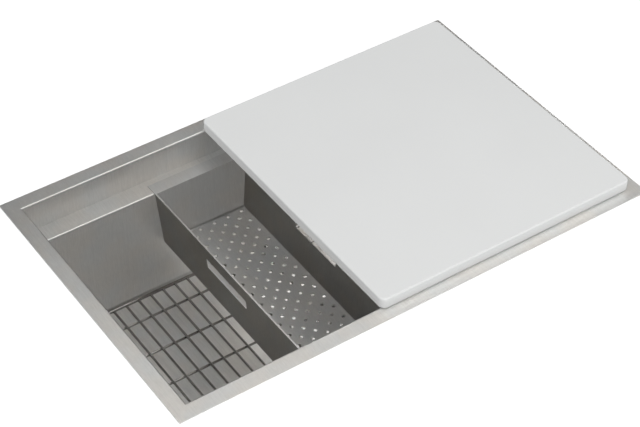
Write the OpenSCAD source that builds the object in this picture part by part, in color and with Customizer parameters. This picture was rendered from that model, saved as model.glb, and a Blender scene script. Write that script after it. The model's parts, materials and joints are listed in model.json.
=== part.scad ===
// Workstation sink for a worktop cut-out: a folded steel bowl with a flat rim and two
// sliding ledges, a hanging colander bin, a board on the rim, a wire floor grid and a
// basket strainer. Millimetres, X to the right, Y to the back, Z up.
// Z = 0 is the plane where the rim rests on the worktop.

/* [Rim] */
// length of the rim, left to right
rim_w = 812.8; // [760:0.1:900]
// depth of the rim, front to back
rim_d = 520.7; // [480:0.1:600]
// width of the rim's flat at the left and right
rim_side = 25.4; // [20:0.1:40]
// width of the rim's flat at the front and back
rim_front = 26.2; // [20:0.1:40]
// thickness of the bowl's steel sheet
sheet_t = 1.5; // [1:0.1:2]
// radius of the bend between the rim and the wall
rim_bend_r = 3; // [2.2:0.1:5]

/* [Bowl] */
// height from the rim's top down to the sliding ledge
ledge_down = 48.9; // [44:0.1:60]
// width of each sliding ledge
ledge_w = 33.8; // [28:0.1:45]
// radius of the bend at the ledge's inner edge
ledge_bend_r = 3; // [2.2:0.1:5]
// height from the rim's top down to the floor at the walls
wall_down = 247; // [225:0.5:280]
// fall of the floor from the walls to the drain
floor_fall = 7; // [3:0.5:12]
// radius where the walls meet the floor
floor_bend_r = 8; // [4:0.5:12]
// width of the level border round the sloping floor
floor_border = 14; // [13:0.5:30]

/* [Worktop clamps] */
// thickness of the worktop that the clamps hold
worktop_t = 30; // [20:0.5:31]
// spacing of the clamps along the front and back
clamp_pitch_long = 260; // [180:1:300]
// spacing of the clamps along the left and right
clamp_pitch_short = 220; // [120:1:260]
// width of a clamp bracket
clamp_w = 24; // [16:0.5:32]
// reach of a clamp bracket under the worktop
clamp_reach = 21; // [16:0.5:23]
// thickness of a clamp bracket
clamp_t = 2.5; // [2:0.1:4]
// height of a clamp bracket's slotted leg
clamp_leg = 18; // [16:0.1:18.2]
// diameter of the studs on the walls
stud_d = 6; // [5:0.1:8]
// length of the studs
stud_l = 11; // [10.5:0.1:14]
// thickness of the washers on the studs
washer_t = 1.2; // [0.8:0.1:2]
// width of the stud nuts across the flats
nut_af = 10; // [9.4:0.1:12]
// height of the stud nuts
nut_h = 5; // [3:0.1:6]

/* [Sound pads] */
// thickness of the sound pads
pad_t = 4; // [2:0.5:6]
// length of the pads on the front and back walls
pad_long_l = 560; // [300:1:640]
// length of the pads on the left and right walls
pad_short_l = 280; // [160:1:320]
// height of the wall pads
pad_h = 120; // [60:1:140]
// gap from the ledge down to the wall pads
pad_down = 26; // [10:1:30]
// length of each floor pad
pad_floor_l = 190; // [100:1:220]
// depth of each floor pad
pad_floor_d = 260; // [150:1:300]

/* [Drain] */
// gap between the strainer body and the edge of the hole in the floor
drain_hole_gap = 1.5; // [1:0.1:2.5]
// gap between the strainer flange and the wall of the pressed recess
recess_gap = 3; // [2:0.5:7]
// depth of the pressed recess
recess_deep = 2.5; // [2.5:0.1:4]
// width of the strainer body's flange
drain_flange_w = 13; // [11:0.5:14]
// outer diameter of the strainer body
drain_body_d = 86; // [84:0.1:87]
// wall of the strainer body
drain_wall = 3; // [2.5:0.1:4]
// depth of the strainer body's cup
drain_cup_deep = 45.5; // [44:0.1:56]
// thickness of the seal under the strainer flange
top_seal_t = 1; // [0.5:0.1:1.5]
// thickness of the rubber gasket under the floor
gasket_t = 3; // [2:0.1:5]
// thickness of the fibre ring under the gasket
fibre_t = 1; // [0.5:0.1:2]
// height of the lock nut
locknut_h = 12; // [8:0.5:16]
// outer diameter of the outlet neck
neck_d = 48; // [46:0.1:50]
// length of the outlet neck
neck_l = 18.5; // [16:0.5:26]
// outer diameter of the tailpiece tube
tail_d = 38.1; // [36:0.1:40]
// wall of the tailpiece tube
tail_wall = 1; // [0.8:0.1:1.5]
// length of the tailpiece tube below its collar
tail_l = 98; // [70:1:150]
// radial clearance of a threaded ring on its thread
thread_gap = 0.05; // [0.02:0.01:0.1]

/* [Strainer basket] */
// gap between the basket's cup and the strainer body
cup_gap = 4; // [3:0.5:7]
// depth of the basket's cup
cup_deep = 26; // [20:0.5:30]
// thickness of the basket's sheet
cup_t = 1; // [0.8:0.1:1.4]
// gap between the basket's rim and the throat
basket_gap = 0.3; // [0.3:0.05:1]
// diameter of the basket's spindle
spindle_d = 8; // [6:0.1:10]
// how far the rubber stopper reaches past the outlet
stopper_lap = 7.5; // [5:0.5:10]
// thickness of the rubber stopper
stopper_t = 5; // [3:0.5:7]
// diameter of the knob
knob_d = 20; // [16:0.5:26]
// height of the knob
knob_h = 14; // [10:0.5:18]

/* [Floor grid] */
// height of the middle of the grid's wires above the floor at the walls
grid_up = 18; // [16:0.5:37]
// diameter of the grid's outer wire
frame_wire_d = 5.5; // [5:0.1:7]
// diameter of the grid's inner wires
rod_d = 4; // [3:0.1:4.5]
// spacing of the wires that run front to back
rod_pitch = 22.2; // [20:0.1:26]
// spacing of the wires that run left to right
cross_pitch = 70; // [64:0.5:76]
// gap from the end walls to the grid's outer wire, on centre
grid_gap_x = 14.6; // [12:0.1:20]
// gap from the front and back walls to the grid's outer wire, on centre
grid_gap_y = 20.3; // [16:0.1:26]
// corner radius of the grid's outer wire, on centre
grid_corner_r = 18; // [12:0.5:18]
// radius of the ring round the drain, on centre
ring_r = 60; // [56:0.5:60]
// diameter of the grid's legs
leg_d = 5; // [4:0.1:6]
// distance from a long side's bumper to the outer leg
leg_in = 22.2; // [14:0.1:60]
// diameter of the rubber feet
foot_d = 12; // [10:0.5:12.5]
// height of the rubber feet
foot_h = 11; // [8:0.5:13]
// thickness of rubber under a leg
foot_floor = 4; // [2:0.5:5]
// outer diameter of the rubber bumpers
bumper_d = 13; // [10:0.5:18]
// length of the rubber bumpers
bumper_l = 14; // [8:0.5:15]

/* [Colander bin] */
// length of the bin at its top, left to right
bin_w = 165.5; // [150:0.5:220]
// amount by which each end wall leans in at the bottom
bin_taper = 8.5; // [2:0.1:14]
// amount by which the front and back walls lean in at the bottom
bin_taper_y = 1; // [0.5:0.1:10]
// depth of the bin's floor below the ledge
bin_deep = 101; // [80:0.5:120]
// thickness of the bin's sheet
bin_t = 1.2; // [0.8:0.1:1.6]
// clearance between the bin and the bowl's front and back walls
bin_gap = 0.8; // [0.5:0.1:2]
// width of the bin's lips on the ledges
lip_w = 22; // [15:0.5:26]
// height of the folded hem on the end walls
hem_h = 8; // [4:0.5:12]
// radius where the bin's walls meet its floor
bin_bend_r = 3; // [2:0.5:6]
// distance from the bowl's left wall to the bin, as shown
bin_at = 203.5; // [150:0.5:260]
// clearance between a sliding piece and the bowl's end walls
end_gap = 1; // [0.5:0.1:3]
// length of the windows in the end walls
window_l = 110; // [80:1:140]
// height of the windows
window_h = 18; // [14:0.5:24]
// height from the ledge down to the windows
window_down = 23; // [14:0.5:30]
// corner radius of the windows
window_r = 3; // [1:0.5:6]
// diameter of the floor's drain holes
perf_d = 5.5; // [4:0.1:7]
// step of the hole pattern, left to right
perf_x = 12.7; // [10:0.1:16]
// step of the hole pattern, front to back
perf_y = 13; // [10:0.1:16]
// least distance from a hole's centre to a wall
perf_edge = 8.4; // [7.5:0.1:14]

/* [Cutting board] */
// length of the board, left to right
board_w = 453.5; // [380:0.5:520]
// how far the board's edges lie on the rim at the front, back and end
board_lap = 7.7; // [5:0.1:16]
// thickness of the board
board_t = 19; // [14:0.5:26]
// corner radius of the board
board_r = 10; // [6:0.5:20]
// radius of the board's rounded arrises
board_arris = 2.5; // [1:0.5:4]
// width of the guide strips under the board
guide_w = 14; // [10:0.5:20]
// height of the guide strips
guide_h = 9; // [7:0.5:14]
// gap between the guide strips and the bowl's front and back walls
guide_gap = 1.2; // [0.6:0.1:2]
// number of screws in each guide strip
guide_screws = 4; // [2:1:6]
// distance from a guide strip's end to its first screw
guide_screw_end = 20; // [12:1:40]
// diameter of the guide screws' heads
screw_head_d = 7; // [5:0.1:8]
// height of the guide screws' heads
screw_head_h = 3; // [2:0.1:3.5]
// diameter of the guide screws' shanks
screw_d = 3.5; // [3:0.1:4]
// length of a guide screw in the board
screw_bite = 9; // [6:0.5:10]

/* [Hidden] */
$fn = 48;

far = 2000;
cut = 1;
rim_top = sheet_t;
in_x = rim_w / 2 - rim_side;
in_y = rim_d / 2 - rim_front;
low_y = in_y - ledge_w;
ledge_z = rim_top - ledge_down;
edge_z = rim_top - wall_down;
low_z = edge_z - floor_fall;
fall_x = in_x - floor_border;
fall_y = low_y - floor_border;

recess_z = low_z - recess_deep;
under_z = recess_z - sheet_t;
drain_hole_d = drain_body_d + 2 * drain_hole_gap;
drain_flange_d = drain_body_d + 2 * drain_flange_w;
drain_bore_d = drain_body_d - 2 * drain_wall;
recess_d = drain_flange_d + 2 * recess_gap;
flange_z = recess_z + top_seal_t;
flange_t = 1.5;
throat_z = flange_z + flange_t;
throat_flare = 3;
throat_r = drain_bore_d / 2 + throat_flare;
seat_z = throat_z - drain_cup_deep;
cup_floor_t = 3.5;
neck_top_z = seat_z - cup_floor_t;
neck_end_z = neck_top_z - neck_l;
gasket_r = drain_body_d / 2 + 0.4;
gasket_out_r = drain_flange_d / 2 + 1;
locknut_z = under_z - gasket_t - fibre_t - locknut_h;
outlet_r = neck_d / 2 - 4.5;
tail_washer_t = 2;
tail_collar_t = 1.5;
tail_collar_r = neck_d / 2 - 0.6;
tail_nut_wall = 5.5;
tail_nut_lip = 2.5;
tail_nut_top = 14;
tail_collar_z = neck_end_z - tail_washer_t - tail_collar_t;
tail_neck_l = tail_nut_lip + 1.5;
tail_neck_in = 0.3;

basket_sink = 1.2;
basket_rim_z = throat_z - basket_sink;
basket_rim_r = throat_r - basket_sink - cup_t - basket_gap * sqrt(2);
cup_z = basket_rim_z - cup_deep;
cup_d = drain_bore_d - 2 * cup_gap;
stopper_d = 2 * (outlet_r + stopper_lap);
spindle_collar_t = 1.5;
stopper_hole_r = 3;
spindle_foot_t = 2;
knob_z = basket_rim_z - 7;

grid_down = wall_down - grid_up;
grid_z = rim_top - grid_down;
frame_x = in_x - grid_gap_x;
frame_y = low_y - grid_gap_y;
cross_z = grid_z - rod_d;
rod_count = 1 + floor((2 * frame_x - 2 * grid_corner_r - rod_d) / rod_pitch);
rod_start = -(rod_count - 1) * rod_pitch / 2;
cross_side = floor((frame_y - grid_corner_r) / cross_pitch);
frame_low = grid_z - frame_wire_d / 2;
cross_reach = frame_x - sqrt(pow(frame_wire_d / 2, 2) - pow(rod_d / 2, 2));
bump_x = -rod_start - 1.5 * rod_pitch;
bump_y = 1.5 * cross_pitch;
leg_x = bump_x - leg_in;

bin_x0 = -in_x + bin_at;
bin_mid = bin_x0 + bin_w / 2;
bin_top_z = ledge_z + bin_t;
bin_floor_z = ledge_z - bin_deep;
bin_y = low_y - bin_gap;
window_z = ledge_z - window_down - window_h / 2;
perf_nx = floor((bin_w / 2 - bin_taper - bin_t - perf_edge) / perf_x);
perf_ny = floor((bin_y - bin_taper_y - bin_t - perf_edge) / perf_y + 0.5);

board_x1 = in_x + board_lap;
board_mid = board_x1 - board_w / 2;
board_d = 2 * (in_y + board_lap);
guide_y = in_y - guide_gap - guide_w / 2;
guide_l = board_w - 2 * board_lap - 2 * end_gap;
screw_step = (guide_l - 2 * guide_screw_end) / (guide_screws - 1);

steel = [0.70, 0.70, 0.69];
steel_dark = [0.55, 0.55, 0.55];
zinc = [0.66, 0.67, 0.68];
rubber = [0.10, 0.10, 0.10];
pad_grey = [0.32, 0.32, 0.33];
chrome = [0.80, 0.80, 0.80];
brass = [0.72, 0.60, 0.36];
board_white = [0.86, 0.87, 0.86];

// --- shared outlines -------------------------------------------------------

// height of the bowl's floor above a point
function fall_share(x, y) = max(abs(x) / fall_x, abs(y) / fall_y);
function floor_z(x, y) = edge_z - floor_fall * (1 - min(1, fall_share(x, y)));

// the sheet that fills a corner p between directions d1 and d2, left round by r
module corner_fill(p, d1, d2, r) {
  half = acos(d1 * d2) / 2;
  reach = r / tan(half);
  inward = (d1 + d2) / norm(d1 + d2);
  mid = p + inward * r / sin(half);
  difference() {
    polygon([p - inward * r, p + d1 * reach, mid, p + d2 * reach]);
    translate(mid) circle(r = r);
  }
}

// the same corner filled by two flat steps that touch the same round, as a braked bend
module corner_steps(p, d1, d2, r) {
  half = acos(d1 * d2) / 2;
  turn = (90 - half) / 3;
  reach = r / tan(half) - r * tan(turn);
  inward = (d1 + d2) / norm(d1 + d2);
  mid = p + inward * (r / sin(half) - r / cos(turn));
  polygon([p - inward * r, p + d1 * reach, mid, p + d2 * reach]);
}

// an outline in Y and Z run along X
module along_x(l) {
  rotate([90, 0, 90]) linear_extrude(height = l, center = true) children();
}

// an outline in X and Z run along Y
module along_y(l) {
  rotate([90, 0, 0]) linear_extrude(height = l, center = true) children();
}

// bowl outline: straight walls, a level border and a floor that falls to the middle
module bowl_outline(half, fall, o, top, stepped) {
  edge = edge_z - o;
  r = floor_bend_r + o;
  difference() {
    polygon([[-half - o, top], [-half - o, edge], [-fall, edge], [0, low_z - o], [fall, edge],
      [half + o, edge], [half + o, top]]);
    for (m = [0, 1]) {
      mirror([m, 0]) {
        if (stepped) {
          corner_steps([half + o, edge], [0, 1], [-1, 0], r);
        } else {
          corner_fill([half + o, edge], [0, 1], [-1, 0], r);
        }
      }
    }
  }
}

// the lower bowl, grown by o on every side
module lower_bowl(o, top) {
  intersection() {
    along_y(far) bowl_outline(in_x, fall_x, o, top, true);
    along_x(far) bowl_outline(low_y, fall_y, o, top, false);
  }
}

// opening outline that flares at its top edge like a bent sheet
module flared_outline(half, bottom, top, r) {
  translate([-half, bottom]) square([2 * half, top - bottom + cut]);
  for (m = [0, 1]) {
    mirror([m, 0]) difference() {
      translate([half - cut, top - r]) square([r + cut, r + cut]);
      translate([half + r, top - r]) circle(r = r);
    }
  }
}

module ring(r_out, r_in, z0, z1) {
  difference() {
    translate([0, 0, z0]) cylinder(r = r_out, h = z1 - z0);
    translate([0, 0, z0 - cut]) cylinder(r = r_in, h = z1 - z0 + 2 * cut);
  }
}

// --- basin -----------------------------------------------------------------

module basin() color(steel) {
  difference() {
    union() {
      translate([-rim_w / 2, -rim_d / 2, 0]) cube([rim_w, rim_d, sheet_t]);
      translate([-in_x - sheet_t, -in_y - sheet_t, ledge_z - sheet_t])
        cube([2 * (in_x + sheet_t), 2 * (in_y + sheet_t), sheet_t - ledge_z + sheet_t / 2]);
      lower_bowl(sheet_t, ledge_z - sheet_t / 2);
      translate([0, 0, under_z]) cylinder(r = recess_d / 2 + sheet_t, h = low_z - under_z, $fn = 96);
    }
    intersection() {
      along_y(far) flared_outline(in_x, ledge_z, rim_top, rim_bend_r);
      along_x(far) flared_outline(in_y, ledge_z, rim_top, rim_bend_r);
    }
    lower_bowl(0, ledge_z + cut);
    along_x(2 * in_x) flared_outline(low_y, ledge_z - 2 * ledge_bend_r, ledge_z, ledge_bend_r);
    translate([0, 0, recess_z]) cylinder(r = recess_d / 2, h = 20, $fn = 96);
    translate([0, 0, under_z - cut]) cylinder(d = drain_hole_d, h = 20, $fn = 96);
  }
}

// --- worktop clamps ----------------------------------------------------------

// a clamp's own frame: outward is +X from the wall, the rim's underside is Z = 0
module at_clamps() {
  for (i = [-1:1], s = [-1, 1]) {
    translate([i * clamp_pitch_long, s * (in_y + sheet_t), 0]) rotate([0, 0, s * 90]) children();
  }
  for (i = [-0.5, 0.5], s = [-1, 1]) {
    translate([s * (in_x + sheet_t), i * clamp_pitch_short, 0]) rotate([0, 0, 90 - s * 90]) children();
  }
}

clamp_mid_z = -worktop_t - clamp_t - (clamp_leg - clamp_t) / 2;

module along_stud(x0) {
  translate([x0, 0, clamp_mid_z]) rotate([0, 90, 0]) children();
}

module clamp_studs() color(zinc) {
  at_clamps() along_stud(0) cylinder(d = stud_d, h = stud_l);
}

module clamp_brackets() color(zinc) {
  slot_w = stud_d + 0.5;
  slot_h = clamp_leg - clamp_t - 3.5;
  at_clamps() difference() {
    union() {
      translate([0, -clamp_w / 2, -worktop_t - clamp_leg]) cube([clamp_t, clamp_w, clamp_leg]);
      translate([0, -clamp_w / 2, -worktop_t - clamp_t]) cube([clamp_reach, clamp_w, clamp_t]);
      translate([clamp_reach - clamp_t, -clamp_w / 2, -worktop_t - clamp_t - 5])
        cube([clamp_t, clamp_w, 5 + clamp_t]);
    }
    for (e = [-1, 1]) {
      translate([-cut, 0, clamp_mid_z + e * (slot_h - slot_w) / 2]) rotate([0, 90, 0])
        cylinder(d = slot_w, h = clamp_t + 2 * cut);
    }
    translate([-cut, -slot_w / 2, clamp_mid_z - (slot_h - slot_w) / 2])
      cube([clamp_t + 2 * cut, slot_w, slot_h - slot_w]);
  }
}

module clamp_washers() color(zinc) {
  at_clamps() along_stud(clamp_t) ring(stud_d, stud_d / 2 + 0.2, 0, washer_t);
}

module clamp_nuts() color(zinc) {
  at_clamps() along_stud(clamp_t + washer_t) difference() {
    cylinder(d = nut_af / cos(30), h = nut_h, $fn = 6);
    translate([0, 0, -cut]) cylinder(r = stud_d / 2 + thread_gap, h = nut_h + 2 * cut);
  }
}

// --- sound pads ------------------------------------------------------------

module sound_pads_long() color(pad_grey) {
  for (s = [0, 1]) {
    mirror([0, s, 0]) translate([-pad_long_l / 2, low_y + sheet_t, ledge_z - pad_down - pad_h])
      cube([pad_long_l, pad_t, pad_h]);
  }
}

module sound_pads_short() color(pad_grey) {
  for (s = [0, 1]) {
    mirror([s, 0, 0]) translate([in_x + sheet_t, -pad_short_l / 2, ledge_z - pad_down - pad_h])
      cube([pad_t, pad_short_l, pad_h]);
  }
}

module sound_pads_floor() color(pad_grey) {
  pad_x = (in_x + gasket_out_r) / 2;
  for (s = [0, 1]) {
    mirror([s, 0, 0]) difference() {
      intersection() {
        lower_bowl(sheet_t + pad_t, edge_z);
        translate([pad_x - pad_floor_l / 2, -pad_floor_d / 2, low_z - 40])
          cube([pad_floor_l, pad_floor_d, 60]);
      }
      lower_bowl(sheet_t, edge_z + cut);
    }
  }
}

// --- drain -----------------------------------------------------------------

module drain_top_seal() color(rubber) {
  ring(drain_flange_d / 2 - 1, drain_hole_d / 2 + 0.5, recess_z, flange_z);
}

module drain_body() color(steel) {
  r = drain_body_d / 2;
  b = drain_bore_d / 2;
  rotate_extrude($fn = 96) polygon([
    [throat_r, throat_z], [drain_flange_d / 2 - 1, throat_z], [drain_flange_d / 2, throat_z - 0.7],
    [drain_flange_d / 2, flange_z], [r, flange_z], [r, neck_top_z], [neck_d / 2, neck_top_z],
    [neck_d / 2, neck_end_z], [outlet_r, neck_end_z], [outlet_r, seat_z], [b, seat_z],
    [b, throat_z - throat_flare]]);
}

module drain_gasket() color(rubber) {
  ring(gasket_out_r, gasket_r, under_z - gasket_t, under_z);
}

module drain_fibre_ring() color(brass) {
  ring(gasket_out_r, gasket_r, under_z - gasket_t - fibre_t, under_z - gasket_t);
}

module drain_lock_nut() color(zinc) {
  r_in = drain_body_d / 2 + thread_gap;
  difference() {
    union() {
      translate([0, 0, locknut_z]) cylinder(r = gasket_out_r - 4, h = locknut_h, $fn = 96);
      for (i = [0:7]) {
        rotate([0, 0, i * 45]) translate([gasket_out_r - 8, -4, locknut_z]) cube([8, 8, locknut_h]);
      }
    }
    translate([0, 0, locknut_z - cut]) cylinder(r = r_in, h = locknut_h + 2 * cut, $fn = 96);
  }
}

module tail_washer() color(rubber) {
  ring(tail_collar_r, tail_d / 2 - tail_wall + 0.2, neck_end_z - tail_washer_t, neck_end_z);
}

module tailpiece() color(chrome) {
  r = tail_d / 2;
  difference() {
    union() {
      translate([0, 0, tail_collar_z]) cylinder(r = tail_collar_r, h = tail_collar_t, $fn = 72);
      translate([0, 0, tail_collar_z - tail_neck_l - cut])
        cylinder(r = r - tail_neck_in, h = tail_neck_l + cut + tail_collar_t / 2, $fn = 72);
      translate([0, 0, tail_collar_z - tail_l]) cylinder(r = r, h = tail_l - tail_neck_l, $fn = 72);
    }
    translate([0, 0, tail_collar_z - tail_l - cut])
      cylinder(r = r - tail_wall, h = tail_l + tail_collar_t + 2 * cut, $fn = 72);
  }
}

module tail_nut() color(chrome) {
  r = neck_d / 2 + thread_gap;
  z0 = tail_collar_z - tail_nut_lip;
  difference() {
    translate([0, 0, z0]) cylinder(r = r + tail_nut_wall, h = neck_end_z + tail_nut_top - z0, $fn = 8);
    translate([0, 0, tail_collar_z]) cylinder(r = r, h = 60, $fn = 72);
    translate([0, 0, z0 - cut]) cylinder(r = tail_d / 2 + 0.2, h = 60, $fn = 72);
  }
}

// --- strainer basket -------------------------------------------------------

module basket_cup() color(steel) {
  r = cup_d / 2;
  floor_holes = floor(2 * PI * (r - 9) / 9);
  difference() {
    rotate_extrude($fn = 96) polygon([
      [0, cup_z], [r - 3, cup_z], [r, cup_z + 3], [r, basket_rim_z - cup_t],
      [basket_rim_r - 1, basket_rim_z - cup_t], [basket_rim_r, basket_rim_z - cup_t],
      [basket_rim_r, basket_rim_z], [r - cup_t, basket_rim_z],
      [r - cup_t, cup_z + 3.4], [r - 3.4, cup_z + cup_t], [0, cup_z + cup_t]]);
    translate([0, 0, cup_z - cut]) cylinder(r = spindle_d / 2 + thread_gap, h = cup_t + 2 * cut);
    for (i = [0:floor_holes - 1]) {
      rotate([0, 0, i * 360 / floor_holes]) translate([r - 9, 0, cup_z - cut])
        cylinder(d = 5, h = cup_t + 2 * cut, $fn = 24);
    }
    for (i = [0:9]) {
      rotate([0, 0, i * 36 + 18]) translate([r - 19, 0, cup_z - cut])
        cylinder(d = 5, h = cup_t + 2 * cut, $fn = 24);
    }
    for (i = [0:17]) {
      rotate([0, 0, i * 20]) translate([r - 4, -2, cup_z + 7]) cube([8, 4, cup_deep - 14]);
    }
  }
}

module basket_spindle() color(steel) {
  r = spindle_d / 2;
  foot_z = seat_z - spindle_foot_t;
  rotate_extrude() polygon([
    [0, foot_z], [stopper_hole_r + 3, foot_z], [stopper_hole_r + 3, seat_z],
    [stopper_hole_r, seat_z], [stopper_hole_r, seat_z + stopper_t],
    [r + 4, seat_z + stopper_t], [r + 4, seat_z + stopper_t + 1.5], [r, seat_z + stopper_t + 1.5],
    [r, cup_z - spindle_collar_t], [r + 5, cup_z - spindle_collar_t], [r + 5, cup_z],
    [r, cup_z], [r, knob_z], [0, knob_z]]);
}

module basket_stopper() color(rubber) {
  r = stopper_d / 2;
  rotate_extrude($fn = 72) polygon([
    [stopper_hole_r + thread_gap, seat_z], [r - 1.5, seat_z], [r, seat_z + 1.5],
    [r, seat_z + 2.5], [stopper_hole_r + 9, seat_z + stopper_t],
    [stopper_hole_r + thread_gap, seat_z + stopper_t]]);
}

module basket_knob() color(steel) {
  k = knob_d / 2;
  rotate_extrude() difference() {
    union() {
      translate([0, knob_z]) square([k - 4.5, knob_h / 2]);
      translate([0, knob_z + knob_h / 2]) square([k - 3, knob_h / 2]);
      translate([0, knob_z + knob_h / 2]) square([k, knob_h / 2 - 3]);
      translate([k - 3, knob_z + knob_h - 3]) circle(r = 3, $fn = 32);
    }
    translate([-20, knob_z - 20]) square([20, 60]);
  }
}

// --- floor grid ------------------------------------------------------------

module rod_between(y0, y1) {
  translate([0, y0, 0]) rotate([-90, 0, 0]) cylinder(d = rod_d, h = y1 - y0, $fn = 24);
}

module grid_frame() color(steel) {
  sx = frame_x - grid_corner_r;
  sy = frame_y - grid_corner_r;
  translate([0, 0, grid_z]) {
    for (s = [-1, 1]) {
      translate([-sx, s * frame_y, 0]) rotate([0, 90, 0])
        cylinder(d = frame_wire_d, h = 2 * sx, $fn = 32);
      translate([s * frame_x, -sy, 0]) rotate([-90, 0, 0])
        cylinder(d = frame_wire_d, h = 2 * sy, $fn = 32);
    }
    for (i = [0:3]) {
      translate([(i == 0 || i == 3) ? sx : -sx, i < 2 ? sy : -sy, 0]) rotate([0, 0, i * 90])
        rotate_extrude(angle = 90, $fn = 64) translate([grid_corner_r, 0]) circle(d = frame_wire_d, $fn = 32);
    }
  }
}

module grid_rods() color(steel) {
  rod_end = frame_y - frame_wire_d / 2;
  for (i = [0:rod_count - 1]) {
    x = rod_start + i * rod_pitch;
    translate([x, 0, grid_z]) {
      if (abs(x) < ring_r) {
        stop = sqrt(pow(ring_r, 2) - pow(x, 2));
        rod_between(stop, rod_end);
        rod_between(-rod_end, -stop);
      } else {
        rod_between(-rod_end, rod_end);
      }
    }
  }
}

module grid_cross_wires() color(steel) {
  for (i = [-cross_side:cross_side]) {
    y = i * cross_pitch;
    translate([0, y, cross_z]) rotate([0, 0, -90]) {
      if (abs(y) < ring_r) {
        stop = sqrt(pow(ring_r, 2) - pow(y, 2)) + rod_d / 2;
        rod_between(stop, cross_reach);
        rod_between(-cross_reach, -stop);
      } else {
        rod_between(-cross_reach, cross_reach);
      }
    }
  }
}

module grid_drain_ring() color(steel) {
  translate([0, 0, cross_z]) rotate_extrude($fn = 96) translate([ring_r, 0]) circle(d = rod_d, $fn = 24);
}

// a foot's bottom meets the highest bit of floor under it
function foot_z(x) = floor_z(abs(x) < 1 ? 0 : abs(x) + foot_d / 2, frame_y + foot_d / 2);

module at_legs() {
  for (x = [-leg_x, 0, leg_x], s = [-1, 1]) {
    translate([x, s * frame_y, 0]) {
      $foot = foot_z(x);
      children();
    }
  }
}

module grid_legs() color(steel) {
  at_legs() translate([0, 0, $foot + foot_floor]) cylinder(d = leg_d, h = frame_low - $foot - foot_floor);
}

module grid_feet() color(rubber) {
  at_legs() difference() {
    translate([0, 0, $foot]) cylinder(d = foot_d, h = foot_h);
    translate([0, 0, $foot + foot_floor]) cylinder(r = leg_d / 2 + thread_gap, h = foot_h);
  }
}

module grid_bumpers() color(rubber) {
  for (a = [-1, 1], b = [-1, 1]) {
    translate([a * bump_x - bumper_l / 2, b * frame_y, grid_z]) rotate([0, 90, 0])
      ring(bumper_d / 2, frame_wire_d / 2 + thread_gap, 0, bumper_l);
    translate([a * frame_x, b * bump_y + bumper_l / 2, grid_z]) rotate([90, 0, 0])
      ring(bumper_d / 2, frame_wire_d / 2 + thread_gap, 0, bumper_l);
  }
}

// --- colander bin ----------------------------------------------------------

// one pair of leaning walls, half apart at the top, drawn in by o, from z0 up to z1
module bin_outline(half, taper, o, z0, z1, r) {
  lean = taper / bin_deep;
  low = half - o - lean * (bin_top_z - z0);
  high = half - o - lean * (bin_top_z - z1);
  up = [lean, 1] / norm([1, lean]);
  difference() {
    polygon([[-high, z1], [-low, z0], [low, z0], [high, z1]]);
    for (m = [0, 1]) {
      mirror([m, 0]) {
        if (r > 0) corner_fill([low, z0], [-1, 0], up, r);
      }
    }
  }
}

// the end plates are welded on square, and the long walls are bent up from the floor
module bin_ends(o, z0, z1) {
  bin_outline(bin_w / 2, bin_taper, o, z0, z1, 0);
}

module bin_sides(o, z0, z1, r) {
  bin_outline(bin_y, bin_taper_y, o, z0, z1, r);
}

module bin_body(o, z0, z1, r) {
  intersection() {
    along_y(far) bin_ends(o, z0, z1);
    along_x(far) bin_sides(o, z0, z1, r);
  }
}

module colander_bin() color(steel) translate([bin_mid, 0, 0]) {
  hem_z = bin_top_z - hem_h;
  difference() {
    union() {
      bin_body(0, bin_floor_z - bin_t, bin_top_z, bin_bend_r + bin_t);
      translate([-bin_w / 2, -bin_y - lip_w, ledge_z]) cube([bin_w, 2 * (bin_y + lip_w), bin_t]);
    }
    intersection() {
      along_y(far) union() {
        bin_ends(bin_t, bin_floor_z, hem_z);
        bin_ends(2 * bin_t, hem_z - cut, bin_top_z + cut);
      }
      along_x(far) bin_sides(bin_t, bin_floor_z, bin_top_z + cut, bin_bend_r);
    }
    for (i = [-perf_nx:perf_nx], j = [-perf_ny:perf_ny - 1]) {
      if ((i + j) % 2 != 0) {
        translate([i * perf_x, (j + 0.5) * perf_y, bin_floor_z - bin_t - cut])
          cylinder(d = perf_d, h = bin_t + 2 * cut, $fn = 24);
      }
    }
    along_x(2 * bin_w) {
      w = window_l / 2;
      h = window_h / 2;
      translate([-w + window_r, window_z - h]) square([window_l - 2 * window_r, window_h]);
      translate([-w, window_z - h + window_r]) square([window_l, window_h - 2 * window_r]);
      for (a = [-1, 1], b = [-1, 1]) {
        translate([a * (w - window_r), window_z + b * (h - window_r)]) circle(r = window_r, $fn = 32);
      }
    }
  }
}

// --- cutting board ---------------------------------------------------------

module cutting_board() color(board_white) translate([board_mid, 0, rim_top]) {
  hx = board_w / 2;
  hy = board_d / 2;
  a = board_arris;
  difference() {
    union() {
      for (z = [a, board_t - a]) {
        for (s = [-1, 1]) {
          translate([-hx + board_r, s * (hy - a), z]) rotate([0, 90, 0])
            cylinder(r = a, h = 2 * (hx - board_r), $fn = 32);
          translate([s * (hx - a), -hy + board_r, z]) rotate([-90, 0, 0])
            cylinder(r = a, h = 2 * (hy - board_r), $fn = 32);
        }
        for (i = [0:3]) {
          translate([((i == 0 || i == 3) ? 1 : -1) * (hx - board_r), (i < 2 ? 1 : -1) * (hy - board_r), z])
            rotate([0, 0, i * 90]) rotate_extrude(angle = 90, $fn = 64)
              translate([board_r - a, 0]) circle(r = a, $fn = 32);
        }
      }
      rounded_plate(hx, hy, board_r, a, board_t - a);
      rounded_plate(hx - a, hy - a, board_r - a, 0, board_t);
    }
    at_guide_screws(0) translate([0, 0, -cut]) cylinder(r = screw_d / 2 + thread_gap, h = screw_bite + cut);
  }
}

module rounded_plate(hx, hy, r, z0, z1) {
  translate([0, 0, z0]) linear_extrude(height = z1 - z0) {
    square([2 * (hx - r), 2 * hy], center = true);
    square([2 * hx, 2 * (hy - r)], center = true);
    for (a = [-1, 1], b = [-1, 1]) {
      translate([a * (hx - r), b * (hy - r)]) circle(r = r, $fn = 64);
    }
  }
}

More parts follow.
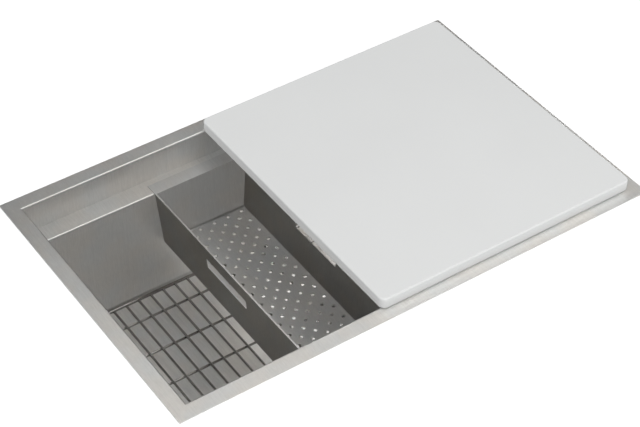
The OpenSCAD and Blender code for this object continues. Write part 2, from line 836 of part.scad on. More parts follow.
// screw axes of both strips, in the board's own X
module at_guide_screws(z) {
  for (s = [-1, 1], i = [0:guide_screws - 1]) {
    translate([-guide_l / 2 + guide_screw_end + i * screw_step, s * guide_y, z]) children();
  }
}

module board_guides() color(board_white) translate([board_mid, 0, rim_top]) difference() {
  for (s = [-1, 1]) {
    translate([-guide_l / 2, s * guide_y - guide_w / 2, -guide_h]) cube([guide_l, guide_w, guide_h]);
  }
  at_guide_screws(-guide_h) {
    translate([0, 0, -cut]) cylinder(r = screw_d / 2 + thread_gap, h = guide_h + 2 * cut);
    translate([0, 0, -cut]) cylinder(r = screw_head_d / 2 + 0.2, h = screw_head_h + 0.5 + cut);
  }
}

module board_guide_screws() color(zinc) translate([board_mid, 0, rim_top]) {
  at_guide_screws(-guide_h) {
    translate([0, 0, 0.5]) cylinder(d = screw_head_d, h = screw_head_h);
    translate([0, 0, 0.5 + screw_head_h / 2])
      cylinder(d = screw_d, h = guide_h - 0.5 - screw_head_h / 2 + screw_bite - 1);
  }
}

basin();
clamp_studs();
clamp_brackets();
clamp_washers();
clamp_nuts();
sound_pads_long();
sound_pads_short();
sound_pads_floor();
drain_top_seal();
drain_body();
drain_gasket();
drain_fibre_ring();
drain_lock_nut();
tail_washer();
tailpiece();
tail_nut();
basket_cup();
basket_spindle();
basket_stopper();
basket_knob();
grid_frame();
grid_rods();
grid_cross_wires();
grid_drain_ring();
grid_legs();
grid_feet();
grid_bumpers();
colander_bin();
cutting_board();
board_guides();
board_guide_screws();
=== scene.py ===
"""Looks for the workstation sink: brushed steel, wire, rubber and board finishes, small
formed details made by Geometry Nodes, and a plain studio with the photograph's camera."""
import json
import math

import bpy
from bpy.props import FloatProperty, FloatVectorProperty, IntProperty, PointerProperty
from mathutils import Matrix, Vector

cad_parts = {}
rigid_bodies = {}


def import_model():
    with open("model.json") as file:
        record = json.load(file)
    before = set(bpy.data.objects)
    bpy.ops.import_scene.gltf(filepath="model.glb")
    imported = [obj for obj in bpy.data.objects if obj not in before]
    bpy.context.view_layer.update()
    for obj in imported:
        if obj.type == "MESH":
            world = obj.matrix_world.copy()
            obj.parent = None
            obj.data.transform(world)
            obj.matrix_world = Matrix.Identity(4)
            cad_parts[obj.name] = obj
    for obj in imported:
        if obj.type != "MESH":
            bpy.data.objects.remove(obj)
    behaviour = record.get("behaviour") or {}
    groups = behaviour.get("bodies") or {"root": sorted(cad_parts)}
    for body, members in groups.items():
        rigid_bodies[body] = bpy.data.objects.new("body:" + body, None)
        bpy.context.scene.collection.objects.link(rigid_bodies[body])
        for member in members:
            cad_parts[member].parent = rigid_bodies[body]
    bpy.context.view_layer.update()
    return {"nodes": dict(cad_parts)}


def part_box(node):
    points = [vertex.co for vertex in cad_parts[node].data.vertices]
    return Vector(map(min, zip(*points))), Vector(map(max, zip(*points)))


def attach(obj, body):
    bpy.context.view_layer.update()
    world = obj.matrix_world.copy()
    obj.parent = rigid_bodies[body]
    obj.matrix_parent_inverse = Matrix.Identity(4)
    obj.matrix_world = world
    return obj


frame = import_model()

bl_info = {
    "name": "Workstation sink",
    "version": (1, 0, 0),
    "blender": (4, 5, 0),
    "location": "View3D > Sidebar > Sink",
    "description": "Finishes, small details and studio for a workstation sink",
    "category": "Object",
}

NODES = frame["nodes"]
MM = 0.001

# sizes of details that follow the solids
STUD_RADIUS = 3 * MM
STUD_THREAD = 10.4 * MM  # length of thread on a stud, from its inner end
STUD_REACH = 20 * MM  # two points of one stud are closer than this
STRAINER_RADIUS = 43 * MM  # of the thread below the lock nut
STRAINER_THREAD = 20 * MM  # length of that thread
NUT_GAP = 1.5 * MM  # between the lock nut's foot and the thread's top
THREAD_DEPTH = 0.28  # half a ridge's thickness, as a share of the pitch
BIN_SHEET = 1.2 * MM  # thickness of the bin's floor
COLLAR_GAP = 0.05 * MM  # between a hole's edge and its collar
COLLAR_WIDTH = 0.8 * MM
COLLAR_HEIGHT = 0.22 * MM
# how far a bead moves towards the outer wire, as a share of a rod's radius
ROD_END_MOVE, CROSS_END_MOVE = 0.4, 0.3

# a brushed line's width over its length, and how many fine and broad lines fill a metre
LINE_SHAPE = 0.035
FINE_LINES = 2600
BROAD_LINES = 420


# --- shader sums ---------------------------------------------------------------


class Wire:
    """A value that leaves a node. Python's operators on it add Math nodes."""

    def __init__(self, nodes, socket):
        self.nodes = nodes
        self.socket = socket

    def sum_with(self, operation, *values):
        return self.nodes.node("ShaderNodeMath", {"operation": operation},
                               dict(enumerate(values)))

    def __add__(self, other):
        return self.sum_with("ADD", self, other)

    def __radd__(self, other):
        return self.sum_with("ADD", other, self)

    def __sub__(self, other):
        return self.sum_with("SUBTRACT", self, other)

    def __rsub__(self, other):
        return self.sum_with("SUBTRACT", other, self)

    def __mul__(self, other):
        return self.sum_with("MULTIPLY", self, other)

    def __rmul__(self, other):
        return self.sum_with("MULTIPLY", other, self)

    def __pow__(self, other):
        return self.sum_with("POWER", self, other)

    def __rpow__(self, other):
        return self.sum_with("POWER", other, self)

    def above(self, other):
        """The greater of two numbers."""
        return self.sum_with("MAXIMUM", self, other)

    def size(self):
        """The number without its sign."""
        return self.sum_with("ABSOLUTE", self)


class Nodes:
    """A node tree that is filled node by node, for a material, the world or a mesh."""

    def __init__(self, tree):
        self.tree = tree
        self.tree.nodes.clear()

    def node(self, kind, settings=None, inputs=None, output=0):
        """Adds a node, sets it, fills its sockets and returns one of its outputs."""
        made = self.tree.nodes.new(kind)
        for name, value in (settings or {}).items():
            setattr(made, name, value)
        for key, value in (inputs or {}).items():
            socket = made.inputs[key]
            if isinstance(value, Wire):
                self.tree.links.new(value.socket, socket)
            else:
                socket.default_value = value
        return Wire(self, made.outputs[output])

    def close(self, kind, shader):
        """Joins a shader to the tree's output node."""
        out = self.tree.nodes.new(kind)
        self.tree.links.new(shader.socket, out.inputs["Surface"])


class Finish(Nodes):
    """One material, whose patterns lie on the object's own coordinates."""

    def __init__(self, name):
        self.material = bpy.data.materials.new(name)
        self.material.use_nodes = True
        super().__init__(self.material.node_tree)
        self.place = self.node("ShaderNodeTexCoord", output="Object")

    def stretch(self, by, vector=None):
        """Coordinates multiplied by a size on each axis."""
        return self.node("ShaderNodeVectorMath", {"operation": "MULTIPLY"},
                         {0: vector or self.place, 1: by})

    def noise(self, scale, vector=None, detail=2.0, roughness=0.5):
        return self.node("ShaderNodeTexNoise", {"noise_dimensions": "3D"}, {
            "Vector": vector or self.place, "Scale": scale, "Detail": detail,
            "Roughness": roughness})

    def grains(self, scale, output="Distance"):
        return self.node("ShaderNodeTexVoronoi", {}, {
            "Vector": self.place, "Scale": scale}, output=output)

    def spread(self, value, low, high, to_high=1.0):
        """A soft step from 0 at low to a height at high."""
        return self.node("ShaderNodeMapRange", {"interpolation_type": "SMOOTHSTEP"}, {
            "Value": value, "From Min": low, "From Max": high, "To Min": 0.0,
            "To Max": to_high})

    def blend(self, share, first, second):
        """Mix of two colours, whose sockets on the node are the colour ones."""
        factor, colour_a, colour_b, colour_result = 0, 6, 7, 2
        return self.node("ShaderNodeMix", {"data_type": "RGBA"}, {
            factor: share, colour_a: first, colour_b: second}, output=colour_result)

    def shade(self, colour, level):
        """A colour made lighter or darker by a number."""
        start = colour if isinstance(colour, Wire) else tuple(colour)
        return self.node("ShaderNodeVectorMath", {"operation": "SCALE"},
                         {0: start, "Scale": level})

    def bump(self, height, distance, strength, below=None):
        inputs = {"Height": height, "Distance": distance, "Strength": strength}
        if below is not None:
            inputs["Normal"] = below
        return self.node("ShaderNodeBump", {}, inputs)

    def split(self, vector):
        """The three parts of a vector."""
        first = self.node("ShaderNodeSeparateXYZ", {}, {0: vector})
        return [Wire(self, part) for part in first.socket.node.outputs]

    def show(self, shader):
        self.close("ShaderNodeOutputMaterial", shader)
        return self.material

    def surface(self, inputs):
        return self.show(self.node("ShaderNodeBsdfPrincipled", {}, inputs))


def tint(colour, by=(1, 1, 1)):
    """A colour as a socket takes it, each part multiplied."""
    return tuple(part * share for part, share in zip(colour, by)) + (1,)


def mixed(share, first, second):
    """Mix of two numbers."""
    return first * (1.0 - share) + second * share


# --- finishes ------------------------------------------------------------------


def brushed_sheet(name, colour, rough, grain, wave, seed=0.0):
    """Stainless sheet, brushed front to back where it lies level and up and down on walls.
    The seed moves the pattern."""
    f = Finish(name)
    facing = f.split(f.node("ShaderNodeTexCoord", output="Normal"))
    # the end-wall mask sets the grain's direction, and also the painted shade in Metallic below
    end_wall = f.spread(facing[0].size(), 0.6, 0.8)
    moved = f.node("ShaderNodeVectorMath", {"operation": "ADD"},
                   {0: f.place, 1: (seed, seed, seed)})
    level_grain = f.stretch((1.0, LINE_SHAPE, LINE_SHAPE), moved)
    wall_grain = f.stretch((LINE_SHAPE, 1.0, LINE_SHAPE), moved)
    fine, broad = [mixed(end_wall, f.noise(lines, level_grain), f.noise(lines, wall_grain))
                   for lines in (FINE_LINES, BROAD_LINES)]
    cloud = f.noise(9, moved, 3.0)
    spots = f.noise(60, moved, 4.0, 0.6)
    rub = f.spread(f.noise(35, moved, 3.0), 0.55, 0.75)
    level = 1.0 + (fine - 0.5) * (0.30 * grain) + (broad - 0.5) * (0.13 * grain) \
        + (cloud - 0.5) * 0.14 + (spots - 0.5) * 0.08
    skin = f.blend(f.spread(f.noise(16, moved), 0.35, 0.65), tint(colour),
                   tint(colour, (0.97, 1.0, 1.03)))
    roughness = rough + (broad - 0.5) * 0.06 + (cloud - 0.5) * 0.06 + rub * 0.03
    scratches = f.bump(fine, 0.00003 * grain, 0.5)
    uneven = f.bump(f.noise(14, moved, 1.0), 0.0004 * wave, 0.5, scratches)
    # painted shade: Metallic is full on the end walls and 0.88 elsewhere, so walls facing left and
    # right lose their matt share and read darker than level faces
    return f.surface({"Base Color": f.shade(skin, level), "Metallic": 0.88 + end_wall * 0.12,
                      "Roughness": roughness, "Normal": uneven})


def drawn_wire(name, colour, rough):
    """Electropolished wire with faint marks of the draw plate."""
    f = Finish(name)
    marks = f.noise(900)
    cloud = f.noise(40, detail=3.0)
    level = 1.0 + (marks - 0.5) * 0.12 + (cloud - 0.5) * 0.16
    return f.surface({"Base Color": f.shade(colour, level), "Metallic": 1.0,
                      "Roughness": rough + (cloud - 0.5) * 0.1,
                      "Normal": f.bump(marks, 0.00004, 0.4)})


def turned_steel(name, colour, rough, ring=1100.0):
    """Turned or pressed steel with fine rings round the upright axis and faint water marks."""
    f = Finish(name)
    x, y, z = f.split(f.place)
    radius = (x * x + y * y) ** 0.5
    turned = f.node("ShaderNodeCombineXYZ", {}, {0: radius, 1: z, 2: 0.0})
    rings = f.noise(ring, turned)
    cloud = f.noise(30, detail=3.0)
    water = f.spread(f.noise(70), 0.6, 0.72)
    level = 1.0 + (rings - 0.5) * 0.16 + (cloud - 0.5) * 0.12 - water * 0.05
    return f.surface({"Base Color": f.shade(colour, level), "Metallic": 1.0,
                      "Roughness": rough + (rings - 0.5) * 0.1 + water * 0.08,
                      "Normal": f.bump(rings, 0.00005, 0.5)})


def zinc_plate(name, colour, rough):
    """Zinc plating: small crystals, a warm cast in clouds and rubbed patches."""
    f = Finish(name)
    crystal = f.split(f.grains(520, "Color"))[0]
    cloud = f.noise(45, detail=4.0, roughness=0.6)
    rub = f.spread(f.noise(160, detail=3.0), 0.58, 0.7)
    level = 0.94 + crystal * 0.12 + (cloud - 0.5) * 0.22
    warm = f.blend(cloud, tint(colour), tint(colour, (1.05, 1.02, 0.93)))
    return f.surface({"Base Color": f.shade(warm, level), "Metallic": 1.0,
                      "Roughness": rough + crystal * 0.08 - rub * 0.1,
                      "Normal": f.bump(cloud, 0.0001, 0.5)})


def moulded_rubber(name, colour, rough, pebble, dust):
    """Rubber with a pebbled skin and a little dust in patches."""
    f = Finish(name)
    pebbles = f.grains(pebble)
    fine = f.noise(1500)
    cloud = f.noise(25, detail=4.0, roughness=0.6)
    dusty = f.spread(cloud, 0.5, 0.75, dust)
    pale = (colour[0] + 0.16, colour[1] + 0.155, colour[2] + 0.15, 1)
    skin = f.blend(dusty, tint(colour), pale)
    level = 0.92 + pebbles * 0.3 + (fine - 0.5) * 0.12
    return f.surface({"Base Color": f.shade(skin, level),
                      "Roughness": rough + (cloud - 0.5) * 0.2,
                      "Normal": f.bump(pebbles + fine * 0.3, 0.00025, 0.7)})


def pressed_fibre(name, colour):
    """Pressed fibre: short mixed fibres and a waxy rub."""
    f = Finish(name)
    lay = f.noise(700, f.stretch((1.0, 1.0, 0.3)), 4.0, 0.7)
    cloud = f.noise(60, detail=3.0)
    level = 0.85 + lay * 0.3 + (cloud - 0.5) * 0.2
    return f.surface({"Base Color": f.shade(colour, level),
                      "Roughness": 0.7 + (cloud - 0.5) * 0.15,
                      "Normal": f.bump(lay, 0.0001, 0.6)})


def board_plastic(name, colour):
    """Pale moulded board: an even matt skin with a faint cloud and a hair-fine tooth."""
    f = Finish(name)
    cloud = f.noise(6, detail=4.0, roughness=0.55)
    tooth = f.noise(1300)
    flecks = f.spread(f.noise(220), 0.62, 0.8)
    wear = f.spread(f.noise(18, f.stretch((1.0, 6.0, 1.0)), 3.0), 0.55, 0.8)
    level = 1.0 + (cloud - 0.5) * 0.05 + (tooth - 0.5) * 0.02 - flecks * 0.015
    return f.surface({"Base Color": f.shade(colour, level),
                      "Roughness": 0.52 + (cloud - 0.5) * 0.1 + wear * 0.05,
                      "Specular IOR Level": 0.35,
                      "Normal": f.bump(tooth, 0.00006, 0.5)})


# --- settings ------------------------------------------------------------------


class SteelSettings(bpy.types.PropertyGroup):
    """Colours and grain of the metal."""
    bowl_colour: FloatVectorProperty(
        name="Bowl steel", description="Colour of the bowl's brushed steel",
        subtype="COLOR", size=3, min=0, max=1, default=(0.79, 0.768, 0.733))
    bin_colour: FloatVectorProperty(
        name="Bin steel", description="Colour of the colander bin's brushed steel",
        subtype="COLOR", size=3, min=0, max=1, default=(0.69, 0.67, 0.641))
    wire_colour: FloatVectorProperty(
        name="Wire steel", description="Colour of the grid's wire",
        subtype="COLOR", size=3, min=0, max=1, default=(0.44, 0.43, 0.415))
    drain_colour: FloatVectorProperty(
        name="Drain steel", description="Colour of the strainer and basket",
        subtype="COLOR", size=3, min=0, max=1, default=(0.62, 0.615, 0.605))
    zinc_colour: FloatVectorProperty(
        name="Zinc", description="Colour of the clamps, studs and nuts",
        subtype="COLOR", size=3, min=0, max=1, default=(0.60, 0.605, 0.60))
    chrome_colour: FloatVectorProperty(
        name="Chrome", description="Colour of the tailpiece and its nut",
        subtype="COLOR", size=3, min=0, max=1, default=(0.72, 0.725, 0.73))
    grain: FloatProperty(
        name="Grain", description="Depth of the brushed lines", default=1.0, min=0, max=3)
    wave: FloatProperty(
        name="Waviness", description="Slight unevenness of the sheet", default=0.6, min=0, max=3)
    roughness: FloatProperty(
        name="Roughness", description="Roughness of the brushed sheet", default=0.31,
        min=0.05, max=0.6)


class RubberSettings(bpy.types.PropertyGroup):
    """Colours of the rubber, fibre and board."""
    pad_colour: FloatVectorProperty(
        name="Sound pad", description="Colour of the sound pads",
        subtype="COLOR", size=3, min=0, max=1, default=(0.085, 0.085, 0.088))
    seal_colour: FloatVectorProperty(
        name="Seals", description="Colour of the seals, feet and bumpers",
        subtype="COLOR", size=3, min=0, max=1, default=(0.035, 0.035, 0.036))
    fibre_colour: FloatVectorProperty(
        name="Fibre ring", description="Colour of the fibre ring",
        subtype="COLOR", size=3, min=0, max=1, default=(0.33, 0.18, 0.10))
    board_colour: FloatVectorProperty(
        name="Board", description="Colour of the board",
        subtype="COLOR", size=3, min=0, max=1, default=(0.665, 0.672, 0.669))


class DetailSettings(bpy.types.PropertyGroup):
    """Sizes of the small formed details."""
    rod_pitch: FloatProperty(
        name="Rod step", description="Step of the wires that run front to back",
        default=22.2 * MM, unit="LENGTH")
    cross_pitch: FloatProperty(
        name="Cross step", description="Step of the wires that run left to right",
        default=70 * MM, unit="LENGTH")
    ring_radius: FloatProperty(
        name="Ring radius", description="Radius of the grid's drain ring",
        default=60 * MM, unit="LENGTH")
    weld_radius: FloatProperty(
        name="Weld radius", description="Radius of a weld where two wires cross",
        default=1.9 * MM, unit="LENGTH")
    hole_radius: FloatProperty(
        name="Hole radius", description="Radius of the bin's drain holes",
        default=2.75 * MM, unit="LENGTH")
    hole_step_x: FloatProperty(
        name="Hole step across", description="Step of the hole pattern, left to right",
        default=12.7 * MM, unit="LENGTH")
    hole_step_y: FloatProperty(
        name="Hole step along", description="Step of the hole pattern, front to back",
        default=13 * MM, unit="LENGTH")
    hole_columns: IntProperty(
        name="Hole columns", description="Columns of holes", default=11, min=1)
    hole_rows: IntProperty(
        name="Hole rows", description="Rows of holes", default=30, min=1)
    thread_pitch: FloatProperty(
        name="Thread pitch", description="Pitch of the drain's threads",
        default=2.3 * MM, unit="LENGTH")
    stud_pitch: FloatProperty(
        name="Stud pitch", description="Pitch of the stud threads",
        default=1.0 * MM, unit="LENGTH")


class StudioSettings(bpy.types.PropertyGroup):
    """Light and camera."""
    room: FloatProperty(
        name="Room light", description="Strength of the even room light",
        default=0.78, min=0, max=4)
    lens: FloatProperty(
        name="Lens", description="Focal length on a 36 mm sensor", default=108.24)


# --- meshes --------------------------------------------------------------------


def new_object(name, data):
    made = bpy.data.objects.new(name, data)
    bpy.context.scene.collection.objects.link(made)
    return made


def plain_mesh(name, points, faces=()):
    """An object of given points and faces. Loose points are what a Steps tree starts from."""
    mesh = bpy.data.meshes.new(name)
    mesh.from_pydata([tuple(p) for p in points], [], faces)
    return new_object(name, mesh)


class Steps(Nodes):
    """A Geometry Nodes tree with named inputs, one of which is the finish."""

    def __init__(self, name, inputs):
        super().__init__(bpy.data.node_groups.new(name, "GeometryNodeTree"))
        face = self.tree.interface
        face.new_socket("Geometry", in_out="OUTPUT", socket_type="NodeSocketGeometry")
        face.new_socket("Geometry", in_out="INPUT", socket_type="NodeSocketGeometry")
        self.ids = {}
        for label, kind in {**inputs, "Finish": "Material"}.items():
            item = face.new_socket(label, in_out="INPUT", socket_type="NodeSocket" + kind)
            self.ids[label] = item.identifier
        self.start = self.tree.nodes.new("NodeGroupInput")

    def given(self, label):
        return Wire(self, self.start.outputs[label])

    def place_on_points(self, instance, smooth, **placing):
        """Sets one shape on every point, makes it real and gives it its finish."""
        done = self.node("GeometryNodeInstanceOnPoints", {}, {
            "Points": self.given("Geometry"), "Instance": instance, **placing})
        done = self.node("GeometryNodeRealizeInstances", {}, {0: done})
        if smooth:
            done = self.node("GeometryNodeSetShadeSmooth", {}, {0: done})
        done = self.node("GeometryNodeSetMaterial", {}, {
            "Geometry": done, "Material": self.given("Finish")})
        end = self.tree.nodes.new("NodeGroupOutput")
        self.tree.links.new(done.socket, end.inputs[0])
        return self

    def run(self, start, name, values):
        """Evaluates the tree on an object and returns the result as a plain mesh object."""
        modifier = start.modifiers.new("steps", "NODES")
        modifier.node_group = self.tree
        for label, value in values.items():
            modifier[self.ids[label]] = value
        bpy.context.view_layer.update()
        seen = start.evaluated_get(bpy.context.evaluated_depsgraph_get())
        mesh = bpy.data.meshes.new_from_object(seen)
        mesh.name = name
        start.modifiers.clear()
        bpy.data.objects.remove(start)
        if not mesh.materials:
            mesh.materials.append(values["Finish"])
        return new_object(name, mesh)


def bead_steps():
    """Small squashed beads of weld metal on points, each a little different."""
    s = Steps("weld beads", {"Radius": "Float", "Flatten": "Float", "Seed": "Int"})

    def chance(low, high):
        return s.node("FunctionNodeRandomValue", {"data_type": "FLOAT"}, {
            2: low, 3: high, "Seed": s.given("Seed")}, output=1)

    ball = s.node("GeometryNodeMeshUVSphere", {}, {
        "Segments": 8, "Rings": 5, "Radius": s.given("Radius")})
    grown, turn = chance(0.85, 1.15), chance(0.0, 6.28)
    size = s.node("ShaderNodeCombineXYZ", {}, {
        0: grown, 1: grown, 2: grown * s.given("Flatten")})
    spin = s.node("ShaderNodeCombineXYZ", {}, {2: turn})
    return s.place_on_points(ball, True, Rotation=spin, Scale=size)


def collar_steps():
    """A low collar round each point, its inner side sloped down to the punched hole."""
    s = Steps("hole collars", {"Radius": "Float", "Width": "Float", "Height": "Float"})
    crest_start, crest_end = s.given("Width") * 0.72, s.given("Width") * 0.82
    top = s.given("Height") * -1.0  # the section's own y axis points down on the ring
    corners = ((0.0, 0.0), (crest_start, top), (crest_end, top), (s.given("Width"), 0.0))
    section = s.node("GeometryNodeCurvePrimitiveQuadrilateral", {"mode": "POINTS"}, {
        "Point %d" % (i + 1): s.node("ShaderNodeCombineXYZ", {}, {0: across, 1: up})
        for i, (across, up) in enumerate(corners)})
    ring = s.node("GeometryNodeCurvePrimitiveCircle", {"mode": "RADIUS"}, {
        "Resolution": 12, "Radius": s.given("Radius")})
    collar = s.node("GeometryNodeCurveToMesh", {}, {0: ring, "Profile Curve": section})
    return s.place_on_points(collar, False)


def thread_steps():
    """A screw thread wound up from each point and turned by the point's own angles."""
    s = Steps("screw threads", {"Radius": "Float", "Length": "Float", "Turns": "Float",
                                "Depth": "Float"})
    path = s.node("GeometryNodeCurveSpiral", {}, {
        "Resolution": 24, "Rotations": s.given("Turns"), "Start Radius": s.given("Radius"),
        "End Radius": s.given("Radius"), "Height": s.given("Length")})
    ridge = s.node("GeometryNodeCurvePrimitiveCircle", {"mode": "RADIUS"}, {
        "Resolution": 4, "Radius": s.given("Depth")})
    wound = s.node("GeometryNodeCurveToMesh", {}, {
        0: path, "Profile Curve": ridge, "Fill Caps": True})
    turn = s.node("GeometryNodeInputNamedAttribute", {"data_type": "FLOAT_VECTOR"}, {
        "Name": "turn"})
    return s.place_on_points(wound, False, Rotation=turn)


def thread(name, places, finish, radius, length, pitch):
    """Screw threads at (place, angles) pairs, as one piece of the sink."""
    cloud = plain_mesh("thread points", [place for place, _ in places])
    turn = cloud.data.attributes.new("turn", "FLOAT_VECTOR", "POINT")
    for value, (_, angles) in zip(turn.data, places):
        value.vector = angles
    made = thread_steps().run(cloud, name, {
        "Radius": radius, "Length": length, "Turns": length / pitch,
        "Depth": THREAD_DEPTH * pitch, "Finish": finish})
    add_piece(made, "sink")


def stud_ends():
    """The inner end of each stud and the angles that turn a thread along it."""
    groups = []
    for vertex in NODES["clamp_studs"].data.vertices:
        for group in groups:
            if (vertex.co - group[0]).length < STUD_REACH:
                group.append(vertex.co)
                break
        else:
            groups.append([vertex.co])
    ends = []
    for group in groups:
        low = [min(v[i] for v in group) for i in range(3)]
        high = [max(v[i] for v in group) for i in range(3)]
        mid = Vector([(a + b) / 2 for a, b in zip(low, high)])
        along = 0 if high[0] - low[0] > high[1] - low[1] else 1
        side = 1 if mid[along] > 0 else -1
        start = mid.copy()
        start[along] = low[along] if side > 0 else high[along]
        quarter = side * math.pi / 2
        ends.append((start, (0, quarter, 0) if along == 0 else (-quarter, 0, 0)))
    return ends


def add_piece(made, body):
    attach(made, body)


def cover(names, material):
    """Gives CAD nodes a finish."""
    for name in names:
        mesh = NODES[name].data
        mesh.materials.clear()
        mesh.materials.append(material)


# --- pieces --------------------------------------------------------------------


class SINK_OT_bowl(bpy.types.Operator):
    """Finish the folded bowl with its rim and ledges"""
    bl_idname = "sink.bowl"
    bl_label = "Bowl"

    def execute(self, context):
        steel = context.scene.sink_steel
        cover(["basin"], brushed_sheet("bowl steel", steel.bowl_colour, steel.roughness,
                                       steel.grain, steel.wave))
        return {"FINISHED"}


class SINK_OT_clamps(bpy.types.Operator):
    """Finish the worktop clamps and sound pads under the bowl"""
    bl_idname = "sink.clamps"
    bl_label = "Clamps and sound pads"

    def execute(self, context):
        scene = context.scene
        zinc = zinc_plate("clamp zinc", scene.sink_steel.zinc_colour, rough=0.38)
        cover(["clamp_studs", "clamp_brackets", "clamp_washers", "clamp_nuts"], zinc)
        thread("stud_threads", stud_ends(), zinc, STUD_RADIUS, STUD_THREAD,
               scene.sink_details.stud_pitch)
        pad = moulded_rubber("sound pad", scene.sink_rubber.pad_colour, rough=0.85, pebble=420,
                             dust=0.5)
        cover(["sound_pads_long", "sound_pads_short", "sound_pads_floor"], pad)
        return {"FINISHED"}


class SINK_OT_drain(bpy.types.Operator):
    """Finish the drain, its seals and the tailpiece"""
    bl_idname = "sink.drain"
    bl_label = "Drain"

    def execute(self, context):
        steel, rubber = context.scene.sink_steel, context.scene.sink_rubber
        strainer = turned_steel("strainer steel", steel.drain_colour, rough=0.24)
        cover(["drain_body"], strainer)
        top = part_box("drain_lock_nut")[0].z - NUT_GAP
        foot = top - STRAINER_THREAD
        thread("strainer_thread", [((0, 0, foot), (0, 0, 0))], strainer, STRAINER_RADIUS,
               top - foot, context.scene.sink_details.thread_pitch)
        cover(["drain_lock_nut"], zinc_plate("lock nut zinc", steel.zinc_colour, rough=0.34))
        cover(["tailpiece", "tail_nut"],
              turned_steel("tail chrome", steel.chrome_colour, rough=0.10))
        seal = moulded_rubber("seal rubber", rubber.seal_colour, rough=0.6, pebble=900, dust=0.2)
        cover(["drain_top_seal", "drain_gasket", "tail_washer"], seal)
        cover(["drain_fibre_ring"], pressed_fibre("fibre", rubber.fibre_colour))
        return {"FINISHED"}


class SINK_OT_basket(bpy.types.Operator):
    """Finish the basket strainer"""
    bl_idname = "sink.basket"
    bl_label = "Basket strainer"

    def execute(self, context):
        steel, rubber = context.scene.sink_steel, context.scene.sink_rubber
        metal = turned_steel("basket steel", steel.drain_colour, rough=0.22, ring=900.0)
        cover(["basket_cup", "basket_spindle", "basket_knob"], metal)
        stopper = moulded_rubber("stopper rubber", rubber.seal_colour, rough=0.55, pebble=900,
                                 dust=0.1)
        cover(["basket_stopper"], stopper)
        return {"FINISHED"}


class SINK_OT_grid(bpy.types.Operator):
    """Finish the floor grid and weld its wires"""
    bl_idname = "sink.grid"
    bl_label = "Floor grid"

    def execute(self, context):
        steel, rubber = context.scene.sink_steel, context.scene.sink_rubber
        detail = context.scene.sink_details
        wire = drawn_wire("grid wire", steel.wire_colour, rough=0.10)
        cover(["grid_frame", "grid_rods", "grid_cross_wires", "grid_drain_ring", "grid_legs"],
              wire)
        foot = moulded_rubber("foot rubber", rubber.seal_colour, rough=0.65, pebble=1100,
                              dust=0.15)
        cover(["grid_feet", "grid_bumpers"], foot)
        weld = drawn_wire("grid weld", [c * 0.92 for c in steel.wire_colour], rough=0.32)
        beads = bead_steps().run(plain_mesh("weld points", weld_points(detail)), "grid_welds", {
            "Radius": detail.weld_radius, "Flatten": 0.8, "Seed": 4, "Finish": weld})
        add_piece(beads, "grid")
        return {"FINISHED"}


def weld_points(detail):
    """Where the grid's wires touch: every crossing, and the wires' ends on the outer wire."""
    rods_low, rods_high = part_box("grid_rods")
    cross_low, cross_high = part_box("grid_cross_wires")
    rod_r = (rods_high.z - rods_low.z) / 2
    rod_z = (rods_high.z + rods_low.z) / 2
    touch_z = rod_z - rod_r
    first = rods_low.x + rod_r
    count = 1 + round((rods_high.x - rods_low.x - 2 * rod_r) / detail.rod_pitch)
    columns = [first + i * detail.rod_pitch for i in range(count)]
    side = round((cross_high.y - rod_r) / detail.cross_pitch)
    rows = [j * detail.cross_pitch for j in range(-side, side + 1)]
    ring = detail.ring_radius
    points = []
    for x in columns:
        for y in rows:
            if math.hypot(x, y) > ring + rod_r:
                points.append((x, y, touch_z))
        for end in (-1, 1):
            points.append((x, end * rods_high.y, rod_z - rod_r * ROD_END_MOVE))
            if abs(x) < ring:
                points.append((x, end * math.sqrt(ring ** 2 - x ** 2), touch_z))
    move = rod_r * CROSS_END_MOVE
    for y in rows:
        for end in (-1, 1):
            points.append((end * (cross_high.x - move), y, touch_z + move))
    return points


class SINK_OT_bin(bpy.types.Operator):
    """Finish the colander bin and set a low collar round each drain hole"""
    bl_idname = "sink.bin"
    bl_label = "Colander bin"

    def execute(self, context):
        steel, detail = context.scene.sink_steel, context.scene.sink_details
        sheet = brushed_sheet("bin steel", steel.bin_colour, steel.roughness, steel.grain,
                              steel.wave, seed=3.7)
        cover(["colander_bin"], sheet)
        polished = drawn_wire("polished collar", (0.90, 0.88, 0.85), rough=0.12)
        holes = plain_mesh("hole points", hole_points(detail))
        lips = collar_steps().run(holes, "bin_hole_collars", {
            "Radius": detail.hole_radius + COLLAR_GAP, "Width": COLLAR_WIDTH,
            "Height": COLLAR_HEIGHT, "Finish": polished})
        add_piece(lips, "colander")
        return {"FINISHED"}


def hole_points(detail):
    """Centres of the bin's drain holes, on top of its floor."""
    low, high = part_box("colander_bin")
    middle = (low.x + high.x) / 2
    floor_top = low.z + BIN_SHEET
    points = []
    for i in range(detail.hole_columns):
        for j in range(detail.hole_rows):
            column = i - (detail.hole_columns - 1) // 2
            row = j - detail.hole_rows // 2
            if (column + row) % 2:
                points.append((middle + column * detail.hole_step_x,
                               (row + 0.5) * detail.hole_step_y, floor_top))
    return points


class SINK_OT_board(bpy.types.Operator):
    """Finish the cutting board, its guide strips and their screws"""
    bl_idname = "sink.board"
    bl_label = "Board"

    def execute(self, context):
        steel, rubber = context.scene.sink_steel, context.scene.sink_rubber
        cover(["cutting_board", "board_guides"],
              board_plastic("board plastic", rubber.board_colour))
        cover(["board_guide_screws"], turned_steel("screw steel", steel.zinc_colour, rough=0.3))
        return {"FINISHED"}


# --- studio --------------------------------------------------------------------


# the worktop's outline and the hole for the bowl, both as x0, y0, x1, y1, and its two faces
WORKTOP = (-0.64, -0.64, 0.47, 0.32)
CUT_OUT = (-0.3835, -0.2367, 0.3835, 0.2367)
WORKTOP_FOOT, WORKTOP_TOP = -0.030, -0.0002
FLOOR_Z, FLOOR_SIDE = -0.47, 9
# how far the camera sees each of them shine, so that they read white
WORKTOP_GLOW, FLOOR_GLOW = 0.25, 0.35
ONE_FACE = [(0, 1, 2, 3)]


